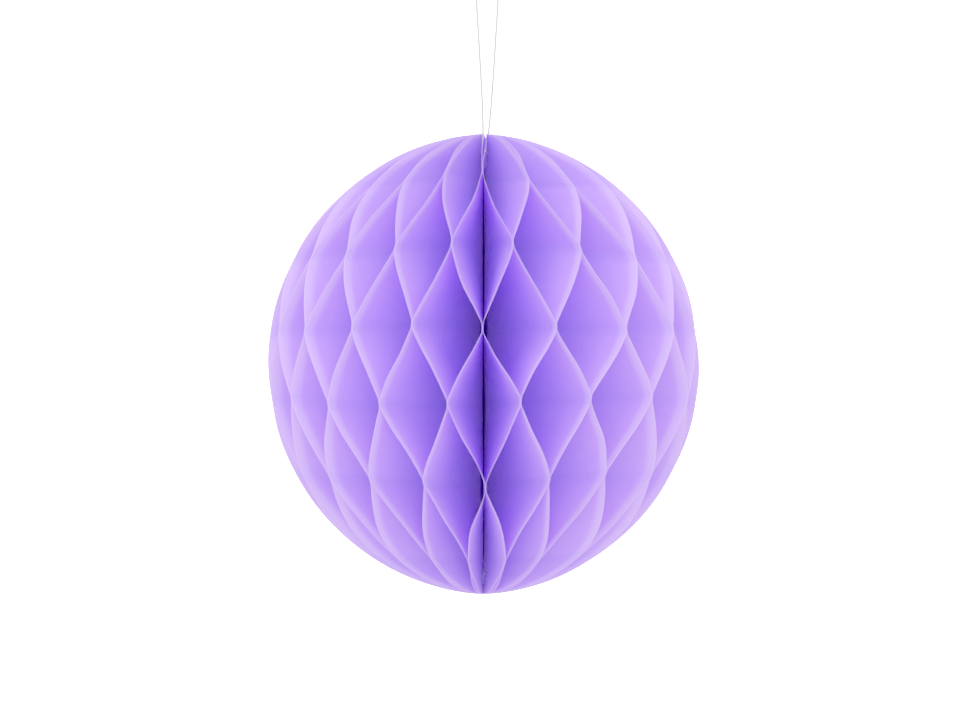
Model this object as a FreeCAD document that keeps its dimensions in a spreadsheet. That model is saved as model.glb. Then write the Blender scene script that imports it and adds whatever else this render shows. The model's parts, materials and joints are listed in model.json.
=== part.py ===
"""Paper honeycomb ball: forty tissue leaves fanned about one spine between two card covers, on a thread loop.

Frame: millimetres, +Z up.  The origin is the hang point, on the inside of the loop's top.  The ball hangs
below it, with the seam between its two covers towards +Y.
"""
import FreeCAD, Part

import math
import os

import Sketcher

V = FreeCAD.Vector

doc = FreeCAD.newDocument("honeycomb_ball")

# ---------------------------------------------------------------- driving sizes (mm, degrees, counts)

SIZES = [
    ("outline_radius", 50.3),    # radius of the arc that the sheets' round edge is cut to
    ("outline_setback", 3.5),    # how far the arc's centre lies behind the spine's axis
    ("leaf_count", 40),          # tissue leaves round the spine
    ("sheet_gauge", 0.12),       # thickness of one tissue leaf
    ("glue_gap", 0.10),          # room for the glue between two leaves, and between a leaf and a cover
    ("fan_bias", 5.3),           # degrees by which the fan is spread more on the +X side than on the other
    ("spine_room", 0.10),        # least room between neighbouring pairs of leaves at their inner edges
    ("glue_height_1", 38.2),     # heights of the six glue lines from the ball's middle, top to bottom
    ("glue_height_2", 22.4),
    ("glue_height_3", 6.5),
    ("glue_height_4", -7.8),
    ("glue_height_5", -23.6),
    ("glue_height_6", -41.2),
    ("cover_gauge", 0.25),       # thickness of one card cover
    ("cover_room", 0.9),         # room between a binding thread's ring and the covers' inner edge
    ("cover_inset", 0.5),        # how far the covers' round edge lies inside the leaves' edge
    ("tape_gauge", 0.10),        # thickness of the adhesive strips between the covers
    ("tape_width", 7.0),
    ("tape_length", 26.0),
    ("tape_radius", 27.0),       # inner edge of the strips from the axis
    ("tape_height", 6.0),        # nearer end of each strip above or below the middle
    ("binding_height", 45.5),    # height of the binding threads above and below the middle
    ("binding_margin", 0.7),     # paper left between the leaves' inner edges and the punched holes
    ("binding_thread", 0.4),     # diameter of the binding threads
    ("binding_clearance", 0.3),  # radial room round a binding thread in its punched holes
    ("knot_radius", 0.9),
    ("knot_length", 1.8),
    ("loop_thread", 0.45),       # diameter of the hanging loop's thread
    ("hang_drop", 86.68),        # the ball's middle below the hang point
    ("string_offset", 0.8),      # the ball's axis lies this far to -X of the hang point
]

sheet = doc.addObject("Spreadsheet::Sheet", "sizes")
for row, (alias, value) in enumerate(SIZES, start=1):
    sheet.set(f"A{row}", alias)
    sheet.set(f"B{row}", str(value))
    sheet.setAlias(f"B{row}", alias)
doc.recompute()

GLUE_LINES = [f"sizes.glue_height_{line}" for line in range(1, 7)]
POLE = "sqrt(sizes.outline_radius ^ 2 - sizes.outline_setback ^ 2)"
BEYOND = "2 * sizes.outline_radius"

# Beside a column a leaf lies half the glue away, and beside the seam also past a cover and half a strip.
LEAF_FROM_COLUMN = "sizes.glue_gap / 2"
LEAF_FROM_SEAM = "(sizes.tape_gauge / 2 + sizes.cover_gauge + sizes.glue_gap)"

# The inner edges stand far enough out for the leaf at the seam to pass the pair two columns on.
NEXT_PAIR = "(720 / sizes.leaf_count - sizes.fan_bias * sin(720 / sizes.leaf_count) ^ 2)"
PAIR_HALF = f"({LEAF_FROM_COLUMN} + sizes.sheet_gauge)"
SPINE_RADIUS = f"(({LEAF_FROM_SEAM} + sizes.sheet_gauge + sizes.spine_room + {PAIR_HALF}) / sin({NEXT_PAIR}))"
HOLE_RADIUS = "(sizes.binding_thread / 2 + sizes.binding_clearance)"
BINDING_RADIUS = f"({SPINE_RADIUS} + sizes.binding_margin + {HOLE_RADIUS})"
COVER_START = f"({BINDING_RADIUS} + sizes.binding_thread / 2 + sizes.cover_room)"


def now(expression):
    """The number that an expression on the sheet's cells gives."""
    return float(sheet.evalExpression(expression))


LEAF_COUNT = int(now("sizes.leaf_count"))

# ---------------------------------------------------------------- helpers

def origin_plane(body, role):
    """The body's own origin plane with that role, such as XY_Plane."""
    return next(item for item in body.Origin.OriginFeatures if item.Role == role)


def origin_axis(body, role):
    """The body's own origin axis with that role, such as Z_Axis."""
    return next(item for item in body.Origin.OriginFeatures if item.Role == role)


def hang(obj):
    """Hang a sub-part, which is drawn about the ball's middle, under the hang point."""
    obj.setExpression("Placement.Base.x", "-sizes.string_offset")
    obj.setExpression("Placement.Base.z", "-sizes.hang_drop")
    return obj


def new_body(label):
    """An empty body at the ball's middle."""
    body = doc.addObject("PartDesign::Body", label)
    body.Label = label
    return hang(body)


def new_sketch(body, name, role):
    """A sketch on one of the body's origin planes."""
    sketch = body.newObject("Sketcher::SketchObject", name)
    sketch.AttachmentSupport = [(origin_plane(body, role), "")]
    sketch.MapMode = "FlatFace"
    return sketch


def dimension(sketch, kind, label, expression, geometry, *point):
    """Dimension a radius, or one point's distance from the sketch's origin, and bind it to the sheet."""
    where = (geometry,) if kind == "Radius" else (-1, 1, geometry, *point)
    index = sketch.addConstraint(Sketcher.Constraint(kind, *where, now(expression)))
    sketch.renameConstraint(index, label)
    sketch.setExpression(f"Constraints.{label}", expression)


def add_rectangle(sketch, name, low, high):
    """A closed rectangle between two corners, each a pair of expressions."""
    (x_low, y_low), (x_high, y_high) = low, high
    left, foot, right, top = (now(expression) for expression in (x_low, y_low, x_high, y_high))
    corners = [V(left, foot, 0), V(right, foot, 0), V(right, top, 0), V(left, top, 0)]
    first = sketch.GeometryCount
    for corner in range(4):
        sketch.addGeometry(Part.LineSegment(corners[corner], corners[(corner + 1) % 4]), False)
    for side in range(4):
        following = first + (side + 1) % 4
        sketch.addConstraint(Sketcher.Constraint("Coincident", first + side, 2, following, 1))
    for side in (0, 2):
        sketch.addConstraint(Sketcher.Constraint("Horizontal", first + side))
        sketch.addConstraint(Sketcher.Constraint("Vertical", first + side + 1))
    dimension(sketch, "DistanceX", f"{name}_x_low", x_low, first, 1)
    dimension(sketch, "DistanceY", f"{name}_y_low", y_low, first, 1)
    dimension(sketch, "DistanceX", f"{name}_x_high", x_high, first + 2, 1)
    dimension(sketch, "DistanceY", f"{name}_y_high", y_high, first + 2, 1)


def add_circle(sketch, name, x_mid, y_mid, radius):
    """A circle whose centre and radius are expressions."""
    circle = Part.Circle(V(now(x_mid), now(y_mid), 0), V(0, 0, 1), now(radius))
    index = sketch.addGeometry(circle, False)
    dimension(sketch, "DistanceX", f"{name}_x", x_mid, index, 3)
    dimension(sketch, "DistanceY", f"{name}_y", y_mid, index, 3)
    dimension(sketch, "Radius", f"{name}_radius", radius, index)


def column_azimuth(column):
    """Azimuth of a glue column: even steps from the seam, spread more on the +X side of the front."""
    even = f"360 / sizes.leaf_count * {column}"
    return f"90 + {even} + sizes.fan_bias * sin({even}) ^ 2"


# ---------------------------------------------------------------- leaves

def leaf_section(body, name, column, side, height):
    """One flat radial slice of a leaf, beside the glue column that it is closed on.

    side is +1 for the leaf after the column and -1 for the leaf before it.
    """
    sketch = new_sketch(body, name, "XY_Plane")
    sketch.AttachmentOffset = FreeCAD.Placement(V(0, 0, 1), FreeCAD.Rotation(V(0, 0, 1), 10))
    sketch.setExpression("AttachmentOffset.Base.z", height)
    sketch.setExpression("AttachmentOffset.Rotation.Angle", column_azimuth(column))
    near = LEAF_FROM_SEAM if column in (0, LEAF_COUNT) else LEAF_FROM_COLUMN
    far = f"{near} + sizes.sheet_gauge"
    low, high = (near, far) if side > 0 else (f"-({far})", f"-({near})")
    add_rectangle(sketch, "slice", (f"{SPINE_RADIUS} / 2", low), ("sizes.outline_radius", high))
    return sketch


def add_outline(sketch, inner, arc_radius):
    """A closed outline: an upright inner edge at one expression's distance, and the round edge's arc."""
    edge_x, radius, setback = now(inner), now(arc_radius), now("sizes.outline_setback")
    reach = math.sqrt(radius ** 2 - (setback + edge_x) ** 2)
    top, foot = V(edge_x, reach, 0), V(edge_x, -reach, 0)
    arc = sketch.addGeometry(Part.Arc(foot, V(radius - setback, 0, 0), top), False)
    edge = sketch.addGeometry(Part.LineSegment(top, foot), False)
    sketch.addConstraint(Sketcher.Constraint("Coincident", arc, 2, edge, 1))
    sketch.addConstraint(Sketcher.Constraint("Coincident", edge, 2, arc, 1))
    sketch.addConstraint(Sketcher.Constraint("Vertical", edge))
    sketch.addConstraint(Sketcher.Constraint("PointOnObject", arc, 3, -1))
    dimension(sketch, "DistanceX", "arc_setback", "-sizes.outline_setback", arc, 3)
    dimension(sketch, "DistanceX", "inner_edge", inner, edge, 1)
    dimension(sketch, "Radius", "arc_radius", arc_radius, arc)


def trim_profile(body, name):
    """What turning about the spine takes off a leaf: all outside its outline, and a hole for each binding."""
    sketch = new_sketch(body, name, "XZ_Plane")
    add_rectangle(sketch, "waste", ("0", f"-{BEYOND}"), (BEYOND, BEYOND))
    add_outline(sketch, SPINE_RADIUS, "sizes.outline_radius")
    add_circle(sketch, "upper_hole", BINDING_RADIUS, "sizes.binding_height", HOLE_RADIUS)
    add_circle(sketch, "lower_hole", BINDING_RADIUS, "-sizes.binding_height", HOLE_RADIUS)
    return sketch


def make_leaf(number):
    """Leaf between glue columns number - 1 and number, closed on each in turn down the six glue lines."""
    label = f"leaf_{number:02d}"
    body = new_body(label)
    even_column, odd_column = (number, number - 1) if number % 2 == 0 else (number - 1, number)
    heights = [POLE, *GLUE_LINES, f"-{POLE}"]
    sections = []
    for place, height in enumerate(heights):
        # above the top line and below the bottom one the leaf stays closed as it is on that line
        line = min(max(place, 1), len(GLUE_LINES))
        column = even_column if line % 2 == 1 else odd_column
        side = -1 if column == number else 1
        sections.append(leaf_section(body, f"{label}_slice_{place}", column, side, height))
    loft = body.newObject("PartDesign::AdditiveLoft", f"{label}_web")
    loft.Profile = (sections[0], [""])
    loft.Sections = [(section, [""]) for section in sections[1:]]
    loft.Ruled = True
    trim = body.newObject("PartDesign::Groove", f"{label}_trim")
    trim.Profile = (trim_profile(body, f"{label}_outline"), [""])
    trim.ReferenceAxis = (origin_axis(body, "Z_Axis"), [""])
    trim.Angle = 360
    body.Tip = trim
    return body


# ---------------------------------------------------------------- covers and adhesive strips

def make_cover(label, side):
    """A flat card half disc against the seam; side -1 lies to -X of it and +1 to +X."""
    body = new_body(label)
    sketch = new_sketch(body, f"{label}_outline", "YZ_Plane")
    add_outline(sketch, COVER_START, "sizes.outline_radius - sizes.cover_inset")
    sketch.setExpression("AttachmentOffset.Base.z", f"{side} * sizes.tape_gauge / 2")
    pad = body.newObject("PartDesign::Pad", f"{label}_card")
    pad.Profile = (sketch, [""])
    pad.setExpression("Length", "sizes.cover_gauge")
    pad.Reversed = side < 0
    body.Tip = pad
    return body


def make_strip(label, end):
    """A flat adhesive strip in the seam, above the middle for end +1 and below it for -1."""
    strip = doc.addObject("Part::Box", label)
    strip.Label = label
    strip.setExpression("Length", "sizes.tape_gauge")
    strip.setExpression("Width", "sizes.tape_width")
    strip.setExpression("Height", "sizes.tape_length")
    strip.setExpression("Placement.Base.x", "-sizes.string_offset - sizes.tape_gauge / 2")
    strip.setExpression("Placement.Base.y", "sizes.tape_radius")
    foot = "sizes.tape_height" if end > 0 else "-sizes.tape_height - sizes.tape_length"
    strip.setExpression("Placement.Base.z", f"{foot} - sizes.hang_drop")
    return strip


# ---------------------------------------------------------------- binding threads, knots and hanging loop

def make_binding(label, end):
    """A thread ring through the punched holes, with a short tail along the seam to the knot on the axis."""
    ring = doc.addObject("Part::Torus", f"{label}_ring")
    ring.setExpression("Radius1", BINDING_RADIUS)
    ring.setExpression("Radius2", "sizes.binding_thread / 2")
    ring.setExpression("Placement.Base.z", f"{end} * sizes.binding_height")
    tail = doc.addObject("Part::Cylinder", f"{label}_tail")
    tail.Placement = FreeCAD.Placement(V(0, 0, 0), FreeCAD.Rotation(V(1, 0, 0), -90))
    tail.setExpression("Radius", "sizes.binding_thread / 2")
    tail.setExpression("Height", f"{BINDING_RADIUS} - sizes.knot_radius")
    tail.setExpression("Placement.Base.y", "sizes.knot_radius")
    tail.setExpression("Placement.Base.z", f"{end} * sizes.binding_height")
    thread = doc.addObject("Part::Fuse", label)
    thread.Label = label
    thread.Base, thread.Tool = ring, tail
    return hang(thread)


def make_knot(label, end):
    """A small round knot on the axis, where the binding's tail is tied."""
    barrel = doc.addObject("Part::Cylinder", f"{label}_barrel")
    barrel.setExpression("Radius", "sizes.knot_radius")
    barrel.setExpression("Height", "sizes.knot_length")
    barrel.setExpression("Placement.Base.z", f"{end} * sizes.binding_height - sizes.knot_length / 2")
    knot = doc.addObject("Part::Fillet", label)
    knot.Label = label
    knot.Base = barrel
    doc.recompute()
    curves = [edge.Curve.TypeId for edge in barrel.Shape.Edges]
    rims = [number for number, kind in enumerate(curves, start=1) if kind == "Part::GeomCircle"]
    round_over = now("sizes.knot_radius") / 3
    knot.Edges = [(rim, round_over, round_over) for rim in rims]
    return hang(knot)


# The hanging loop's route from the hang point, as (x, z): up out of the knot, out at the ball's pole,
# straight to a hook's rim, round it, and down again to the knot.
LOOP_ROUTE = [(-1.10, -40.28), (-0.60, -36.80), (-2.40, -6.70), (-2.55, -2.50), (-1.40, 0.225),
              (1.40, 0.225), (2.55, -2.50), (2.40, -6.70), (0.50, -36.80), (-0.45, -40.28)]
ARC_SHARE = 0.45  # how much of the shorter run beside a corner its arc may take


def rounded_path(corners):
    """Straight runs joined by tangent arcs, each as large as its two runs allow; also the arcs' radii."""
    edges, radii, start = [], [], corners[0]
    for before, corner, after in zip(corners, corners[1:], corners[2:]):
        back, ahead = before - corner, after - corner
        trim = ARC_SHARE * min(back.Length, ahead.Length)
        turn = math.pi - back.getAngle(ahead)
        radii.append(trim / math.tan(turn / 2))
        back.normalize()
        ahead.normalize()
        enter, leave = corner + back * trim, corner + ahead * trim
        inward = back + ahead
        inward.normalize()
        crown = corner + inward * radii[-1] * (1 / math.cos(turn / 2) - 1)
        edges += [Part.LineSegment(start, enter).toShape(), Part.Arc(enter, crown, leave).toShape()]
        start = leave
    edges.append(Part.LineSegment(start, corners[-1]).toShape())
    return Part.Wire(edges), radii


def make_loop(label):
    """The thread loop: one round tube along its route."""
    corners = [V(x, 0, z) for x, z in LOOP_ROUTE]
    path, radii = rounded_path(corners)
    radius = now("sizes.loop_thread") / 2
    section = Part.Wire(Part.Circle(corners[0], corners[1] - corners[0], radius).toShape())
    loop = doc.addObject("Part::Feature", label)
    loop.Label = label
    loop.Shape = path.makePipeShell([section], True, True)
    loop.Placement = FreeCAD.Placement(V(0, 0, 0), FreeCAD.Rotation())
    share = loop.Shape.Volume / (math.pi * radius ** 2 * path.Length)
    print(f"{label}: length {path.Length:.2f}, volume over section times length {share:.4f}")
    print(f"{label}: arc radii", [round(value, 2) for value in radii])
    return loop


# ---------------------------------------------------------------- the whole ball

pieces = [make_leaf(number) for number in range(1, LEAF_COUNT + 1)]
pieces += [make_cover("first_cover", -1), make_cover("last_cover", 1)]
pieces += [make_strip("upper_adhesive_strip", 1), make_strip("lower_adhesive_strip", -1)]
for place, end in (("top", 1), ("bottom", -1)):
    pieces += [make_binding(f"{place}_binding_thread", end), make_knot(f"{place}_knot", end)]
pieces.append(make_loop("hanging_loop"))
doc.recompute()

failed = [item.Label for item in doc.Objects if "Invalid" in item.State or "Error" in item.State]
if failed:
    raise RuntimeError(f"objects left failed: {failed}")
for piece in pieces:
    shape = piece.Shape
    if shape.isNull() or not shape.isValid() or shape.Volume <= 0 or len(shape.Solids) != 1:
        raise RuntimeError(f"{piece.Label} is not one valid solid")

blank = pieces[0].getObject("leaf_01_web").Shape.Volume
if not pieces[0].Shape.Volume < 0.8 * blank:
    raise RuntimeError("the trim took too little off a leaf")

os.makedirs("parts", exist_ok=True)
for piece in pieces:
    piece.Shape.exportStep(f"parts/{piece.Label}.step")
print(len(pieces), "sub-parts written")
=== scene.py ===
"""Paper honeycomb ball on a thread loop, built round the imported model.

Forty tissue leaves stand round a spine.  Neighbours are glued along six lines by turns on one side and the
other, which makes the honeycomb.  All lengths are metres in the model's own frame, and the seam faces +Y.
"""

import json
import math

import bmesh
import bpy
import numpy as np
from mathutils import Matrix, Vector


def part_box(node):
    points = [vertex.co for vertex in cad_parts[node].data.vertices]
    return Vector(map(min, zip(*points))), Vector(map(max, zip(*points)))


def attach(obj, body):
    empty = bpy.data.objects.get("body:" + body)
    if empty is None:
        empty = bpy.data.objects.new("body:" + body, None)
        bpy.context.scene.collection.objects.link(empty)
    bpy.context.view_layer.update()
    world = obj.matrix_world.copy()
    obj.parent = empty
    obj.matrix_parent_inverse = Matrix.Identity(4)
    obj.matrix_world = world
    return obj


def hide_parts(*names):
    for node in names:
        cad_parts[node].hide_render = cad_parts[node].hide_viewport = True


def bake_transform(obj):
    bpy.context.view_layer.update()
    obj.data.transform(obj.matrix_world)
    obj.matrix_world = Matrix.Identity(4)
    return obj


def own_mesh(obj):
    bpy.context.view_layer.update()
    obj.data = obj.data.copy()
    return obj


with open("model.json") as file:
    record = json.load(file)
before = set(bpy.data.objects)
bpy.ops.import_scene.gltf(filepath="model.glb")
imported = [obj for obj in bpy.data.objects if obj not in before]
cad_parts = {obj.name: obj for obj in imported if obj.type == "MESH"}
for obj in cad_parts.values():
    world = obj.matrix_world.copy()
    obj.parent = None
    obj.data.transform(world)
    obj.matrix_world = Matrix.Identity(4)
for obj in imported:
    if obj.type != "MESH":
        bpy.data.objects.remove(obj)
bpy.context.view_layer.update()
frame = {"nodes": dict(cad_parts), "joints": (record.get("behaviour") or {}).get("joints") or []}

MM = 0.001

# ------------------------------------------------------------------ the ball's own sizes

FOLDS = [joint for joint in frame["joints"] if joint["name"].startswith("fold_")]
LEAVES = len(FOLDS)
BALL = np.array(FOLDS[0]["pos_m"])  # the ball's middle, on the spine
STEP = 360 / LEAVES                 # degrees from one glue column to the next, on average
FAN_BIAS = 5.3                      # degrees that the columns a quarter turn from the seam stand further on
OUTLINE_RADIUS = 50.3 * MM          # the arc that the half discs' round edge is cut to
OUTLINE_SETBACK = 3.5 * MM          # how far that arc's centre lies behind the spine
GLUE_HEIGHTS = np.array([38.2, 22.4, 6.5, -7.8, -23.6, -41.2]) * MM  # at the round edge, top to bottom
GLUE_PITCH = 16.3 * MM              # flat distance between glue lines, which bounds the leaves' slope
GLUE_HALF = 0.9 * MM                # half the width of a glue line
SHEET_GAUGE = 0.04 * MM             # tissue with its nap, as thick as it looks at its edge
PAIR_HALF = 0.07 * MM               # from a glue column's middle to the leaf on either side
COVER_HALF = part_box("last_cover")[1].x - BALL[0]  # from the seam's middle to a cover's outer face
SEAM_HALF = COVER_HALF + PAIR_HALF
STRIP_RADIUS = 30.5 * MM            # from the spine to the adhesive strips' middles
STRIP_HEIGHT = 19 * MM              # from the ball's middle, up and down, to the strips' middles
SPINE_INNER = 0.15 * MM             # from the axis to the leaves' inner edges, where the sheets meet
SPINE_AT_KNOTS = 2.2 * MM           # the same beside the knots
SPINE_PAST_KNOTS = (0.3 * MM, 2.2 * MM)  # the same beyond them, at the bottom and at the top, for the loop


def column_azimuth(column):
    """Azimuth of a glue column in degrees: even steps on from the seam, plus the bias times sine squared."""
    even = STEP * column
    return 90 + even + FAN_BIAS * math.sin(math.radians(even)) ** 2


# ------------------------------------------------------------------ small makers

def linear(hex_colour):
    """An sRGB hex colour as linear red, green, blue and alpha."""
    parts = [int(hex_colour[i:i + 2], 16) / 255 for i in (1, 3, 5)]
    return (*[p / 12.92 if p <= 0.04045 else ((p + 0.055) / 1.055) ** 2.4 for p in parts], 1.0)


def smooth_step(low, high, value):
    """0 below low, 1 above high, and an even ease between them."""
    t = np.clip((value - low) / (high - low), 0, 1)
    return t * t * (3 - 2 * t)


def mesh_object(name, points, faces, material, closed=False):
    """A smooth-shaded mesh of points and faces; a closed one has its faces turned outwards."""
    mesh = bpy.data.meshes.new(name)
    mesh.from_pydata(points.reshape(-1, 3).tolist(), [], faces)
    if closed:
        work = bmesh.new()
        work.from_mesh(mesh)
        bmesh.ops.recalc_face_normals(work, faces=work.faces)
        work.to_mesh(mesh)
        work.free()
    mesh.shade_smooth()
    mesh.materials.append(material)
    obj = bpy.data.objects.new(name, mesh)
    bpy.context.scene.collection.objects.link(obj)
    return obj


def grid_quads(rows, columns, wrap_columns=False):
    """Corner numbers of the quads of a grid of rows by columns, optionally closed round the columns."""
    numbers = np.arange(rows * columns).reshape(rows, columns)
    if wrap_columns:
        numbers = np.hstack([numbers, numbers[:, :1]])
    corners = (numbers[:-1, :-1], numbers[:-1, 1:], numbers[1:, 1:], numbers[1:, :-1])
    return np.stack([c.ravel() for c in corners], axis=1)


def paint(obj, name, values):
    """A number at each point of a mesh, for its material to read."""
    attribute = obj.data.attributes.new(name, "FLOAT", "POINT")
    attribute.data.foreach_set("value", np.ascontiguousarray(values, np.float32).ravel())


# ------------------------------------------------------------------ materials

def add_node(material, kind, values=(), links=(), **properties):
    """A node of that kind: values are (input, value), links are (output of another node, input)."""
    node = material.node_tree.nodes.new(kind)
    for name, value in properties.items():
        setattr(node, name, value)
    for socket, value in values:
        node.inputs[socket].default_value = value
    for output, socket in links:
        material.node_tree.links.new(output, node.inputs[socket])
    return node


MIX_A, MIX_B, MIX_RESULT = 6, 7, 2  # a colour mix node's sockets, which share their names with others


def new_material(name):
    """An empty node material and its output node."""
    material = bpy.data.materials.new(name)
    material.use_nodes = True
    material.node_tree.nodes.clear()
    return material, add_node(material, "ShaderNodeOutputMaterial")


TISSUE_THIN = "#dba6ff"
TISSUE_THICK = "#d29aff"
TISSUE_GLUED = "#c898f8"
# The next colour is a painted highlight along the leaves' round edges, where light reaches the cells' outer
# edges.
TISSUE_PAINTED_HIGHLIGHT = "#e3c0fe"
TISSUE_TRANSLUCENCY = 0.50
GLUE_DEPTH = 0.16          # how strongly the glue lines are coloured
HIGHLIGHT_FADE = (1.2 * MM, 3.0 * MM)  # from the cut edge inwards, where the painted highlight's paler colour starts and stops fading


def dyed_tissue():
    """Dyed tissue paper, wet-laid at about 18 g per square metre: thin enough to let light through, with
    cloudy fibre clumps 2.2 mm across, deeper colour on the glue lines and a painted highlight, a paler colour
    along the round edge where light reaches the cells' outer edges.  The fibres are drawn 0.45 mm across, far
    coarser than real ones, so that they show."""
    material, output = new_material("dyed_tissue_paper")
    place = add_node(material, "ShaderNodeTexCoord").outputs["Object"]
    clumps = add_node(material, "ShaderNodeTexNoise",
                      [("Scale", 1 / (2.2 * MM)), ("Detail", 5.0), ("Roughness", 0.62)], [(place, "Vector")])
    fibres = add_node(material, "ShaderNodeTexNoise",
                      [("Scale", 1 / (0.45 * MM)), ("Detail", 3.0), ("Roughness", 0.7)], [(place, "Vector")])
    glue = add_node(material, "ShaderNodeAttribute", attribute_name="glue")
    # the mask of the painted highlight along the round edge
    rim_highlight = add_node(material, "ShaderNodeAttribute", attribute_name="rim_highlight")
    cloud = add_node(material, "ShaderNodeMix",
                     [(MIX_A, linear(TISSUE_THIN)), (MIX_B, linear(TISSUE_THICK))],
                     [(clumps.outputs["Fac"], "Factor")], data_type="RGBA")
    glued = add_node(material, "ShaderNodeMix", [(MIX_B, linear(TISSUE_GLUED))],
                     [(glue.outputs["Fac"], "Factor"), (cloud.outputs[MIX_RESULT], MIX_A)], data_type="RGBA")
    # mixes in the painted highlight by the round edge
    highlighted = add_node(material, "ShaderNodeMix", [(MIX_B, linear(TISSUE_PAINTED_HIGHLIGHT))],
                     [(rim_highlight.outputs["Fac"], "Factor"), (glued.outputs[MIX_RESULT], MIX_A)], data_type="RGBA")
    colour = highlighted.outputs[MIX_RESULT]
    bump = add_node(material, "ShaderNodeBump", [("Strength", 0.25), ("Distance", 0.05 * MM)],
                    [(fibres.outputs["Fac"], "Height")])
    face = add_node(material, "ShaderNodeBsdfPrincipled",
                    [("Roughness", 0.85), ("IOR", 1.45), ("Specular IOR Level", 0.25)],
                    [(colour, "Base Color"), (bump.outputs["Normal"], "Normal")])
    through = add_node(material, "ShaderNodeBsdfTranslucent", links=[(colour, "Color")])
    mixed = add_node(material, "ShaderNodeMixShader", [(0, TISSUE_TRANSLUCENCY)],
                     [(face.outputs[0], 1), (through.outputs[0], 2)])
    material.node_tree.links.new(mixed.outputs[0], output.inputs["Surface"])
    return material


def dyed_card():
    """Dyed uncoated card, 250 g per square metre: matt, with the felt-side grain of its making, 0.6 mm."""
    material, output = new_material("dyed_uncoated_card")
    place = add_node(material, "ShaderNodeTexCoord").outputs["Object"]
    felt = add_node(material, "ShaderNodeTexNoise",
                    [("Scale", 1 / (0.6 * MM)), ("Detail", 6.0), ("Roughness", 0.7)], [(place, "Vector")])
    colour = add_node(material, "ShaderNodeMix", [(MIX_A, linear("#b795ee")), (MIX_B, linear("#c8a9f6"))],
                      [(felt.outputs["Fac"], "Factor")], data_type="RGBA")
    bump = add_node(material, "ShaderNodeBump", [("Strength", 0.3), ("Distance", 0.03 * MM)],
                    [(felt.outputs["Fac"], "Height")])
    face = add_node(material, "ShaderNodeBsdfPrincipled", [("Roughness", 0.8), ("IOR", 1.45)],
                    [(colour.outputs[MIX_RESULT], "Base Color"), (bump.outputs["Normal"], "Normal")])
    material.node_tree.links.new(face.outputs[0], output.inputs["Surface"])
    return material


def clear_adhesive():
    """Double-sided acrylic adhesive coated on a film: faintly yellow and glossy, with a slight orange peel,
    0.9 mm across."""
    material, output = new_material("acrylic_adhesive_film")
    place = add_node(material, "ShaderNodeTexCoord").outputs["Object"]
    peel = add_node(material, "ShaderNodeTexNoise", [("Scale", 1 / (0.9 * MM)), ("Detail", 2.0)],
                    [(place, "Vector")])
    colour = add_node(material, "ShaderNodeMix", [(MIX_A, linear("#e9e4d8")), (MIX_B, linear("#f4f1ea"))],
                      [(peel.outputs["Fac"], "Factor")], data_type="RGBA")
    bump = add_node(material, "ShaderNodeBump", [("Strength", 0.3), ("Distance", 0.05 * MM)],
                    [(peel.outputs["Fac"], "Height")])
    face = add_node(material, "ShaderNodeBsdfPrincipled", [("Roughness", 0.25), ("IOR", 1.47)],
                    [(colour.outputs[MIX_RESULT], "Base Color"), (bump.outputs["Normal"], "Normal")])
    material.node_tree.links.new(face.outputs[0], output.inputs["Surface"])
    return material


def spun_thread(name, crown, groove_shade):
    """Bleached cotton thread, spun and twisted: matt, with a fibre fuzz drawn 0.08 mm across, coarser than
    real, so that it shows.  The crown colour given is darker than the white thread, as painted shade, and the
    groove colour darker still, as painted shade down between the plies.  The ply attribute is 1 on a ply's
    crown and 0 in the groove beside it."""
    material, output = new_material(name)
    place = add_node(material, "ShaderNodeTexCoord").outputs["Object"]
    ply = add_node(material, "ShaderNodeAttribute", attribute_name="ply")
    fuzz = add_node(material, "ShaderNodeTexNoise", [("Scale", 1 / (0.08 * MM)), ("Detail", 3.0)],
                    [(place, "Vector")])
    # paints shade into the grooves between the plies, by the ply attribute
    colour = add_node(material, "ShaderNodeMix", [(MIX_A, linear(groove_shade)), (MIX_B, linear(crown))],
                      [(ply.outputs["Fac"], "Factor")], data_type="RGBA")
    bump = add_node(material, "ShaderNodeBump", [("Strength", 0.3), ("Distance", 0.02 * MM)],
                    [(fuzz.outputs["Fac"], "Height")])
    face = add_node(material, "ShaderNodeBsdfPrincipled",
                    [("Roughness", 0.75), ("IOR", 1.53), ("Sheen Weight", 0.3)],
                    [(colour.outputs[MIX_RESULT], "Base Color"), (bump.outputs["Normal"], "Normal")])
    material.node_tree.links.new(face.outputs[0], output.inputs["Surface"])
    return material


# ------------------------------------------------------------------ threads

LOOP_ROUTE = [(-1.10, -40.28), (-0.60, -36.80), (-2.40, -6.70), (-2.55, -2.50), (-1.40, 0.225),
              (1.40, 0.225), (2.55, -2.50), (2.40, -6.70), (0.50, -36.80), (-0.45, -40.28)]  # x, z in mm
LOOP_THREAD = 0.45 * MM
BINDING_THREAD = 0.40 * MM
TAIL_START = 0.6 * MM      # where a binding's tail leaves the knot, from the axis
TAIL_OVERLAP = 0.1 * MM    # how far the tail runs on into the ring
TAIL_DIP = 0.12 * MM
RING_WANDER = 0.05 * MM    # how far the ring strays up and down through the leaves
KNOT_SIZE = 0.72 * MM
KNOT_THREAD = 0.42 * MM
THREAD_SIDES = 12          # points round a thread
THREAD_LAY = 3.5           # length of one turn of the plies, in diameters
PLY_CROWN = 0.12           # how far a ply stands out, as a share of the radius


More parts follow.
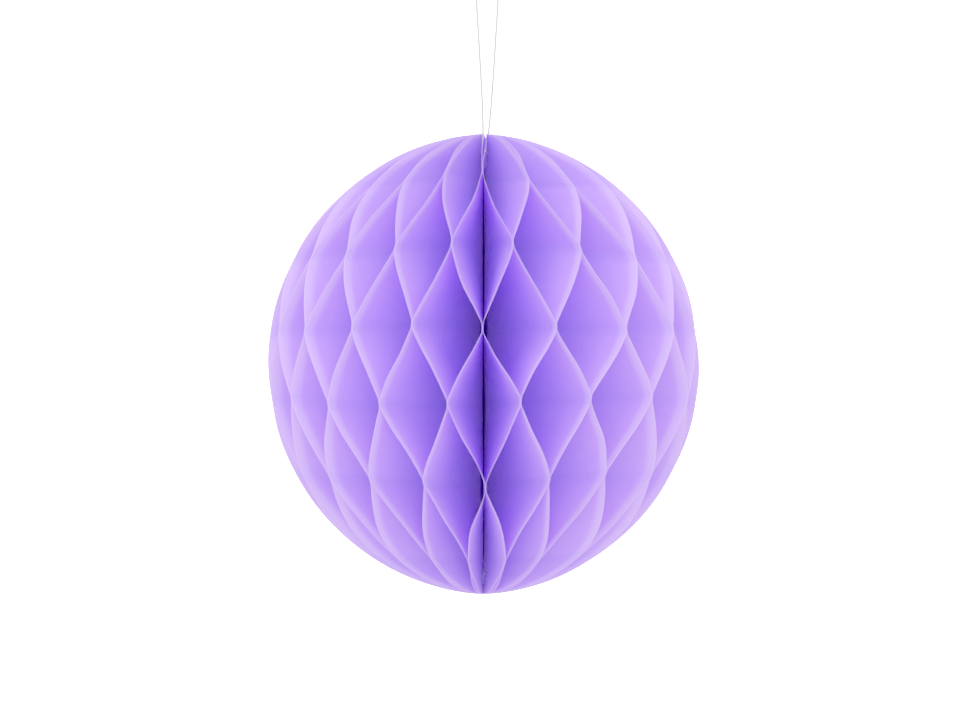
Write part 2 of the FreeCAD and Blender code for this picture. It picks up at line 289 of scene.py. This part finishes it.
def smooth_line(corners):
    """Points along a smooth open spline of order 3 whose control points are the corners."""
    curve = bpy.data.curves.new("route", "CURVE")
    curve.dimensions = "3D"
    curve.resolution_u = 24
    spline = curve.splines.new("NURBS")
    spline.points.add(len(corners) - 1)
    for point, corner in zip(spline.points, corners):
        point.co = (*corner, 1.0)
    spline.use_endpoint_u = True
    spline.order_u = 3
    obj = bpy.data.objects.new("route", curve)
    bpy.context.scene.collection.objects.link(obj)
    bpy.context.view_layer.update()
    mesh = bpy.data.meshes.new_from_object(obj)
    line = np.array([vertex.co[:] for vertex in mesh.vertices])
    bpy.data.objects.remove(obj)
    bpy.data.meshes.remove(mesh)
    bpy.data.curves.remove(curve)
    return line


def evenly(line, spacing):
    """The same line with its points that far apart."""
    run = np.concatenate([[0], np.cumsum(np.linalg.norm(np.diff(line, axis=0), axis=1))])
    along = np.linspace(0, run[-1], max(2, round(run[-1] / spacing) + 1))
    return np.stack([np.interp(along, run, line[:, axis]) for axis in range(3)], axis=1), along


def thread_tube(name, line, diameter, material, plies=3, closed=False):
    """A twisted thread along a line: the section's radius is that of a round times 1 plus a share of the
    cosine of plies times the angle, and it turns once in each lay.

    The section's frame is carried along the line by the least turning, so it has no jump of its own.
    """
    line, along = evenly(line, diameter / 3)
    if closed:
        line, along = line[:-1], along[:-1]
    tangent = np.roll(line, -1, axis=0) - np.roll(line, 1, axis=0) if closed else np.gradient(line, axis=0)
    tangent /= np.linalg.norm(tangent, axis=1, keepdims=True)
    side = np.zeros_like(line)
    side[0] = np.cross(tangent[0], [0.3, 0.9, 0.2])
    side[0] /= np.linalg.norm(side[0])
    for row in range(1, len(line)):
        step = side[row - 1] - tangent[row] * (side[row - 1] @ tangent[row])
        side[row] = step / np.linalg.norm(step)
    up = np.cross(tangent, side)
    angle = np.linspace(0, 2 * math.pi, THREAD_SIDES, endpoint=False)
    turn = 2 * math.pi * along / (THREAD_LAY * diameter)
    crown = np.cos(plies * (angle[None, :] - turn[:, None]))
    radius = diameter / 2 * (1 + PLY_CROWN * crown)
    outwards = np.cos(angle)[:, None] * side[:, None, :] + np.sin(angle)[:, None] * up[:, None, :]
    points = line[:, None, :] + radius[:, :, None] * outwards
    faces = grid_quads(len(line), len(angle), wrap_columns=True).tolist()
    first = np.arange(len(angle))
    last = first + (len(line) - 1) * len(angle)
    if closed:
        faces += np.stack([last, np.roll(last, -1), np.roll(first, -1), first], axis=1).tolist()
    else:
        faces += [first[::-1].tolist(), last.tolist()]
    obj = mesh_object(name, points, faces, material, closed=True)
    paint(obj, "ply", (crown + 1) / 2)
    return obj, line


def knot_line(centre, size):
    """A tied overhand knot's line, (sin t + 2 sin 2t, cos t - 2 cos 2t, -1.4 sin 3t), about the centre."""
    t = np.linspace(0, 2 * math.pi, 240)
    x = np.sin(t) + 2 * np.sin(2 * t)
    y = np.cos(t) - 2 * np.cos(2 * t)
    z = -1.4 * np.sin(3 * t)
    return centre + np.stack([x, y, z], axis=1) * size / 3


def box_middle(node):
    """The middle of a node's box."""
    low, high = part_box(node)
    return (np.array(low) + np.array(high)) / 2


def make_hanging_loop(material):
    """The hanging loop: one thread, from the top knot round the hook and back."""
    corners = [(x * MM, 0.0, z * MM) for x, z in LOOP_ROUTE]
    loop, line = thread_tube("hanging_loop_thread", smooth_line(corners), LOOP_THREAD, material)
    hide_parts("hanging_loop")
    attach(loop, "loop")


def make_binding(end, material):
    """A binding thread's ring through the leaves, its tail along the seam, and its knot on the axis."""
    low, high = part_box(f"{end}_binding_thread")
    middle = box_middle(f"{end}_binding_thread")
    radius = (high.x - low.x - BINDING_THREAD) / 2
    t = np.linspace(0, 2 * math.pi, 181)
    wander = RING_WANDER * np.sin(5 * t)
    ring_line = middle + np.stack([radius * np.sin(t), radius * np.cos(t), wander], axis=1)
    ring, _ = thread_tube(f"{end}_binding_ring", ring_line, BINDING_THREAD, material, closed=True)
    reach = np.linspace(TAIL_START, radius + TAIL_OVERLAP, 12)
    dip = TAIL_DIP * np.sin(np.linspace(0, math.pi, 12))
    tail_line = middle + np.stack([0 * reach, reach, -dip], axis=1)
    tail, _ = thread_tube(f"{end}_binding_tail", tail_line, BINDING_THREAD, material)
    knot, _ = thread_tube(f"{end}_tied_knot", knot_line(box_middle(f"{end}_knot"), KNOT_SIZE),
                          KNOT_THREAD, material, closed=True)
    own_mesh(ring)
    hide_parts(f"{end}_binding_thread")
    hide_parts(f"{end}_knot")
    for piece in (ring, tail, knot):
        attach(piece, "core")


# ------------------------------------------------------------------ tissue leaves

LEAF_ROWS = 171
LEAF_COLUMNS = 24
LEAF_TIP = 0.6 * MM        # how far out from the axis a leaf's round edge ends at either pole
LEAST_REACH = 0.05 * MM    # least width of a leaf, at its tips
KNOT_SIDE = (42 * MM, 44.5 * MM)      # heights between which the leaves draw back to clear the knots
PAST_KNOTS = (46.8 * MM, 48.5 * MM)   # and between which they take up their place beyond them
EDGE_CROWDING = 1.6        # how much closer a leaf's points stand towards its round edge: 1 is evenly
LEAF_EASE = 0.10           # how far a leaf's crossing is eased into its glue lines: 0 is straight, 1 a wave
BUCKLE = 0.45 * MM         # how far the free tissue buckles sideways between its glue lines
BUCKLE_REACH = 25 * MM     # radius at which the buckles have grown whole
BUCKLE_ACROSS = (60, 140)  # radians of the slowest buckles' waves to a metre of radius, at least and at most
BUCKLE_UP = 220            # and to a metre of height, at most, either way
SEAM_KINK = 0.22 * MM      # how far the two leaves beside the seam kink together, close to the spine
KINK_RADIUS = 3.0 * MM     # where they kink most
KINK_WIDTH = 0.8 * MM
PAST_COVERS = (3 * MM, 5 * MM)  # radii between which those two leaves go round the covers' inner edges
FLARE = 1.2                # degrees that a flap beyond the outer glue lines springs off its neighbour
FLARE_SPREAD = (0.3, 1.7)  # least and greatest share of it, from flap to flap
SPRING_LENGTH = 5 * MM     # height beyond the outer glue line over which it springs
SWAY_LENGTH = 9 * MM       # and over which a pair's tips stray sideways
draw = np.random.default_rng(40)
TURN = draw.normal(0, 0.8, (LEAVES + 1, 6))        # degrees that a column strays round, on each glue line
LIFT = draw.normal(0, 0.4, (LEAVES + 1, 6)) * MM   # and how far the glue line strays up there
SWAY = draw.normal(0, 0.3, (LEAVES + 1, 2)) * MM   # how far a pair's tips stray sideways at either pole
# The numbers in FRONT_STRAYS were worked out by a program and rounded, all but the millimetres of line
# 0, which were then changed.  They ought to be chosen by hand or by a formula.
FRONT_STRAYS = (  # on the columns that face forwards: glue line, column, degrees round, millimetres up
    (0, 14, 1.9, -0.7), (0, 16, 2.1, -0.2), (0, 18, 1.6, 0.8), (0, 20, -0.6, 1.2), (0, 22, -0.9, -0.4),
    (0, 24, -2.1, -1.4), (1, 15, 0.9, -0.8), (1, 17, 0.8, 0.3), (1, 19, 0.0, 0.9), (1, 21, -1.0, 0.9),
    (1, 23, -0.4, 0.0), (1, 25, -0.5, -1.2), (2, 14, -0.9, -0.2), (2, 16, 0.0, 0.4), (2, 18, -0.1, 0.8),
    (2, 20, -0.3, -0.2), (2, 22, -0.7, 0.2), (2, 24, -0.1, -0.2), (2, 26, -0.5, 0.2), (3, 13, 0.1, 0.3),
    (3, 15, -0.1, -0.7), (3, 17, -0.4, -0.6), (3, 19, 0.1, -0.6), (3, 21, -0.1, 0.0), (3, 23, -1.0, 0.6),
    (3, 25, -0.5, 0.9), (4, 16, 0.5, -0.1), (4, 18, 0.6, -0.2), (4, 20, 0.6, -1.2), (4, 22, 0.0, 0.1),
    (4, 24, -1.9, 1.1), (4, 26, -0.3, 0.6), (5, 17, 2.3, 0.2), (5, 19, 2.0, 0.0), (5, 21, 0.7, 0.0),
    (5, 23, -2.3, 0.1))
for line, column, turn, lift in FRONT_STRAYS:
    TURN[column, line], LIFT[column, line] = turn, lift * MM
for column, aside in ((2, -0.6), (18, 0.2), (20, 0.45), (38, 0.6)):  # millimetres, at the top pole
    SWAY[column, 0] = aside * MM
for strays in (TURN, LIFT, SWAY):
    strays[[0, -1]] = 0    # the covers hold the two end columns straight


def outline(height):
    """Radius of the ball's outline at a height: the root of R squared less height squared, less the
    setback."""
    return np.sqrt(np.maximum(OUTLINE_RADIUS ** 2 - height ** 2, 0)) - OUTLINE_SETBACK


def drawn_in(radius):
    """Share of its flat height that a leaf keeps at a radius: the cosine of its slope between glue lines,
    whose sine is the distance between columns there over the flat pitch."""
    return np.sqrt(1 - (radius * math.radians(STEP) / GLUE_PITCH) ** 2)


FLAT_GLUE = GLUE_HEIGHTS / drawn_in(outline(GLUE_HEIGHTS))


def opened_height(flat, radius):
    """Height of a point of a leaf in the open ball: drawn in between the outer glue lines, whole beyond."""
    between = np.clip(flat, FLAT_GLUE[-1], FLAT_GLUE[0])
    return between * drawn_in(radius) + flat - between


def leaf_glue(number):
    """A leaf's glue lines: whether each is on its second column, the column's number, and the flat height."""
    at_second = np.arange(len(FLAT_GLUE)) % 2 == number % 2
    column = np.where(at_second, number, number - 1)
    return at_second, column, FLAT_GLUE + LIFT[column, np.arange(len(FLAT_GLUE))]


def beyond_glue(number, flat):
    """How far each flat height lies above a leaf's topmost glue line, and below its lowest."""
    lines = leaf_glue(number)[2]
    return np.maximum(flat - lines[0] - GLUE_HALF, 0), np.maximum(lines[-1] - GLUE_HALF - flat, 0)


def leaf_crossing(number, flat):
    """How far a leaf stands from its first glue column to its second, 0 to 1, at each flat height.

    On each glue line it is at one or the other by turns, the even column on the topmost; in between it
    crosses in a line f eased at both ends, f - k sin(2 pi f) / 2 pi.
    """
    at_second, _, lines = leaf_glue(number)
    knots = np.concatenate([lines + GLUE_HALF, lines - GLUE_HALF])
    order = np.argsort(knots)
    across = np.interp(flat, knots[order], np.concatenate([at_second, at_second])[order])
    return across - LEAF_EASE * np.sin(2 * math.pi * across) / (2 * math.pi)


def leaf_stray(number, flat, radius):
    """How far the columns' own strays and its springing flaps turn a leaf, as an angle, at each flat height
    and radius."""
    at_second, column, lines = leaf_glue(number)
    turn = np.radians(np.interp(flat, lines[::-1], TURN[column, np.arange(len(lines))][::-1]))
    aside = np.zeros_like(flat)
    for end, beyond in zip((0, -1), beyond_glue(number, flat)):
        spring = np.radians(FLARE * np.random.default_rng((number, -end)).uniform(*FLARE_SPREAD))
        turn += (-spring if at_second[end] else spring) * smooth_step(0, SPRING_LENGTH, beyond)
        aside += SWAY[column[end], end] * smooth_step(0, SWAY_LENGTH, beyond)
    return turn[:, None] + aside[:, None] / radius


def make_leaf(number, material):
    """One leaf: a sheet over flat height and radius, at the azimuth between its columns that its crossing
    gives, with slow buckles, each a sine of radius and height, where it is free."""
    node = f"leaf_{number:02d}"
    chance = np.random.default_rng(number)
    rise = np.linspace(-1, 1, LEAF_ROWS)
    top = math.sqrt(OUTLINE_RADIUS ** 2 - (OUTLINE_SETBACK + LEAF_TIP) ** 2)
    flat = top * (rise + np.sin(rise * math.pi / 2)) / 2
    edge = outline(flat)
    for _ in range(20):
        edge = (edge + outline(opened_height(flat, edge))) / 2
    past_knots = np.where(flat > 0, SPINE_PAST_KNOTS[1], SPINE_PAST_KNOTS[0])
    inner = SPINE_INNER + (SPINE_AT_KNOTS - SPINE_INNER) * smooth_step(*KNOT_SIDE, abs(flat))
    inner += (past_knots - SPINE_AT_KNOTS) * smooth_step(*PAST_KNOTS, abs(flat))
    reach = 1 - (1 - np.linspace(0, 1, LEAF_COLUMNS)) ** EDGE_CROWDING
    radius = inner[:, None] + np.maximum(edge - inner, LEAST_REACH)[:, None] * reach
    height = opened_height(flat[:, None], radius)

    first, second = column_azimuth(number - 1), column_azimuth(number)
    crossing = leaf_crossing(number, flat)
    free = np.sin(math.pi * np.clip(crossing, 0, 1)) ** 2
    swell = np.zeros_like(radius)
    for finer in (1, 1, 1, 3, 3, 3):
        across, up = chance.uniform(*BUCKLE_ACROSS) * finer, chance.uniform(-BUCKLE_UP, BUCKLE_UP) * finer
        phase = chance.uniform(0, 2 * math.pi)
        swell += np.sin(radius * across + flat[:, None] * up + phase) / (3 * finer ** 1.5)
    sideways = BUCKLE * free[:, None] * swell * smooth_step(0, BUCKLE_REACH, radius)
    azimuth = (np.radians(first + (second - first) * crossing[:, None])
               + leaf_stray(number, flat, radius) + sideways / radius)

    seam = PAIR_HALF + (SEAM_HALF - PAIR_HALF) * smooth_step(*PAST_COVERS, radius)
    after_first = seam if number == 1 else PAIR_HALF
    before_second = seam if number == LEAVES else PAIR_HALF
    beside = after_first * (1 - crossing[:, None]) - before_second * crossing[:, None]
    if number in (1, LEAVES):
        at_seam = crossing[:, None] if number == LEAVES else 1 - crossing[:, None]
        beside += SEAM_KINK * at_seam * np.exp(-((radius - KINK_RADIUS) / KINK_WIDTH) ** 2)
    points = np.stack([radius * np.cos(azimuth) - beside * np.sin(azimuth),
                       radius * np.sin(azimuth) + beside * np.cos(azimuth), height], axis=2) + BALL

    leaf = mesh_object(f"{node}_tissue", points, grid_quads(LEAF_ROWS, LEAF_COLUMNS).tolist(), material)
    glue = np.exp(-((flat[:, None] - leaf_glue(number)[2]) / GLUE_HALF) ** 4).sum(axis=1)
    paint(leaf, "glue", np.repeat(GLUE_DEPTH * glue[:, None], LEAF_COLUMNS, axis=1))
    # paints the highlight on the outer 1.2 to 3 mm by the round edge, where light reaches the cells' outer
    # edges
    paint(leaf, "rim_highlight", 1 - smooth_step(*HIGHLIGHT_FADE, edge[:, None] - radius))
    thick = leaf.modifiers.new("gauge", "SOLIDIFY")
    thick.thickness = SHEET_GAUGE
    thick.offset = 0
    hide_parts(node)
    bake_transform(leaf)


# ------------------------------------------------------------------ card covers

COVER_ROWS = 121
COVER_COLUMNS = 28
COVER_START = 4.95 * MM     # the covers' inner edge, clear of the binding threads
COVER_INSET = 0.55 * MM     # how far the covers' round edge lies inside the leaves'
COVER_SHUT = 0.01 * MM      # from the seam's middle to a cover's outer face where it bows shut
COVER_WARP = 0.06 * MM      # how far the seam is warped either way
WARP_RADIUS = 3.2 * MM      # radius and height over which the warp's sine goes on by one radian
WARP_HEIGHT = 11 * MM
COVER_TIP = 0.02 * MM       # least width of a cover, at its tips
STRIP_REACH = (4.5 * MM, 9 * MM)   # from a strip's middle, along the radius: a cover is flat, then shut
STRIP_RISE = (14 * MM, 20 * MM)    # the same, along the height


def make_cover(node, side, material):
    """One card half disc, on the side of the seam that its sign gives, as thick as its CAD part.  Away from
    the adhesive strips both bow shut against a slightly warped seam, a sine of the radius and the height."""
    low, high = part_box(node)
    gauge = high.x - low.x
    turn = np.linspace(-1, 1, COVER_ROWS)
    top = math.sqrt((OUTLINE_RADIUS - COVER_INSET) ** 2 - (OUTLINE_SETBACK + COVER_START) ** 2)
    height = top * np.sin(turn * math.pi / 2)[:, None]
    edge = np.sqrt((OUTLINE_RADIUS - COVER_INSET) ** 2 - height ** 2) - OUTLINE_SETBACK
    radius = COVER_START + (edge - COVER_START + COVER_TIP) * np.linspace(0, 1, COVER_COLUMNS)
    at_strips = ((1 - smooth_step(*STRIP_REACH, abs(radius - STRIP_RADIUS)))
                 * (1 - smooth_step(*STRIP_RISE, abs(abs(height) - STRIP_HEIGHT))))
    apart = COVER_SHUT + (COVER_HALF - gauge - COVER_SHUT) * at_strips
    warp = COVER_WARP * (1 - at_strips) * np.sin((radius - COVER_START) / WARP_RADIUS + height / WARP_HEIGHT)
    points = np.stack([side * (apart + gauge / 2) + warp, radius, height + 0 * radius], axis=2) + BALL
    cover = mesh_object(f"{node}_card", points, grid_quads(COVER_ROWS, COVER_COLUMNS).tolist(), material)
    thick = cover.modifiers.new("gauge", "SOLIDIFY")
    thick.thickness = gauge
    thick.offset = 0
    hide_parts(node)
    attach(cover, "core" if side < 0 else f"fan_{LEAVES:02d}")


# ------------------------------------------------------------------ stage, light and camera

CAMERA_DISTANCE = 398 * MM   # from the ball's middle
CAMERA_RISE = -0.75          # degrees above the horizon, seen from the ball
SENSOR = 36.0                # the film's width and the lens's focal length, in millimetres
LENS = 67.6577
SHIFT = 0.001443             # of the film's width, that the lens is shifted to the right
FLOOR_RADIUS = 900 * MM
FLOOR_DROP = 360 * MM        # from the ball's middle
SOFT_BOX_PLACE = (-0.15, -0.35, 0.9)  # metres from the ball's middle
SOFT_BOX_SIZE = 900 * MM
SOFT_BOX_POWER = 3.0
TENT_LEAST = 0.44            # brightness of the tent's sides
TENT_WALLS = 1.0             # how much brighter its front and back walls are, over their whole breadth
TENT_MIDDLE = 2.4            # and how much brighter still at their middles


def make_stage():
    """A round floor well below the ball, out of the camera's sight: board with matt white emulsion paint,
    rolled on, so a little mottled."""
    turn = np.linspace(0, 2 * math.pi, 96, endpoint=False)
    ring = np.stack([FLOOR_RADIUS * np.cos(turn), FLOOR_RADIUS * np.sin(turn), 0 * turn - FLOOR_DROP], axis=1)
    material, output = new_material("matt_white_paint")
    place = add_node(material, "ShaderNodeTexCoord").outputs["Object"]
    mottle = add_node(material, "ShaderNodeTexNoise", [("Scale", 3.0)], [(place, "Vector")])
    colour = add_node(material, "ShaderNodeMix", [(MIX_A, linear("#f7f7f7")), (MIX_B, linear("#fbfbfb"))],
                      [(mottle.outputs["Fac"], "Factor")], data_type="RGBA")
    face = add_node(material, "ShaderNodeBsdfPrincipled", [("Roughness", 0.9)],
                    [(colour.outputs[MIX_RESULT], "Base Color")])
    material.node_tree.links.new(face.outputs[0], output.inputs["Surface"])
    mesh_object("floor", ring + BALL, [list(range(len(ring)))], material)


def make_soft_box():
    """A round soft box above and in front of the ball, aimed at it."""
    data = bpy.data.lights.new("soft_box_above", "AREA")
    data.shape = "DISK"
    data.size = SOFT_BOX_SIZE
    data.energy = SOFT_BOX_POWER
    lamp = bpy.data.objects.new("soft_box_above", data)
    bpy.context.scene.collection.objects.link(lamp)
    lamp.location = Vector(BALL) + Vector(SOFT_BOX_PLACE)
    lamp.rotation_euler = (-Vector(SOFT_BOX_PLACE)).to_track_quat("-Z", "Y").to_euler()


def make_tent():
    """A white light tent whose front and back walls are the brightest: its least brightness, plus a share
    of y squared and one of y to the 32nd, for a direction of unit length.  The camera sees it plain white."""
    world = bpy.data.worlds.new("white_light_tent")
    world.use_nodes = True
    background = world.node_tree.nodes["Background"]
    direction = add_node(world, "ShaderNodeTexCoord").outputs["Generated"]
    axes = add_node(world, "ShaderNodeSeparateXYZ", links=[(direction, 0)])
    squared = add_node(world, "ShaderNodeMath", links=[(axes.outputs["Y"], 0), (axes.outputs["Y"], 1)],
                       operation="MULTIPLY")
    walls = add_node(world, "ShaderNodeMath", [(1, TENT_WALLS), (2, TENT_LEAST)], [(squared.outputs[0], 0)],
                     operation="MULTIPLY_ADD")
    narrow = add_node(world, "ShaderNodeMath", [(1, 16.0)], [(squared.outputs[0], 0)], operation="POWER")
    tent = add_node(world, "ShaderNodeMath", [(1, TENT_MIDDLE)],
                    [(narrow.outputs[0], 0), (walls.outputs[0], 2)], operation="MULTIPLY_ADD")
    seen = add_node(world, "ShaderNodeLightPath").outputs["Is Camera Ray"]
    strength = add_node(world, "ShaderNodeMath", links=[(tent.outputs[0], 0), (seen, 1)], operation="MAXIMUM")
    world.node_tree.links.new(strength.outputs[0], background.inputs["Strength"])
    background.inputs["Color"].default_value = (1, 1, 1, 1)
    bpy.context.scene.world = world


def make_camera():
    """A long lens level with the ball, a little below its middle."""
    data = bpy.data.cameras.new("camera")
    data.sensor_width = SENSOR
    data.lens = LENS
    data.shift_x = SHIFT
    camera = bpy.data.objects.new("camera", data)
    bpy.context.scene.collection.objects.link(camera)
    rise = math.radians(CAMERA_RISE)
    back = Vector((0, -math.cos(rise), math.sin(rise)))
    camera.location = Vector(BALL) + back * CAMERA_DISTANCE
    camera.rotation_euler = (-back).to_track_quat("-Z", "Y").to_euler()
    data.clip_start = 0.01
    bpy.context.scene.camera = camera


# ------------------------------------------------------------------ everything

make_camera()
# The hanging loop is bleached white thread; this grey is painted shade, and the darker groove colour is
# painted shade between the plies.
loop_thread = spun_thread("bleached_thread_painted_grey_shade", "#c9c7c9", "#8d8b90")
make_hanging_loop(loop_thread)
# The binding thread is white cotton; this dark violet, with darker grooves, is painted shade where it lies in
# the seam and spine.
binding_thread = spun_thread("binding_thread_painted_violet_shade", "#7d50cc", "#54319a")
for end in ("top", "bottom"):
    make_binding(end, binding_thread)
tissue = dyed_tissue()
for number in range(1, LEAVES + 1):
    make_leaf(number, tissue)
card = dyed_card()
make_cover("first_cover", -1, card)
make_cover("last_cover", 1, card)
adhesive = clear_adhesive()
for node in ("upper_adhesive_strip", "lower_adhesive_strip"):
    mesh = frame["nodes"][node].data
    mesh.materials.clear()
    mesh.materials.append(adhesive)
make_stage()
make_tent()
make_soft_box()
scene = bpy.context.scene
scene.view_settings.view_transform = "Standard"
scene.view_settings.gamma = 2.12   # opens up the cells' depths
scene.cycles.diffuse_bounces = 16  # so that light gets down into the cells, from leaf to leaf
scene.cycles.transmission_bounces = 16
scene.cycles.max_bounces = 24
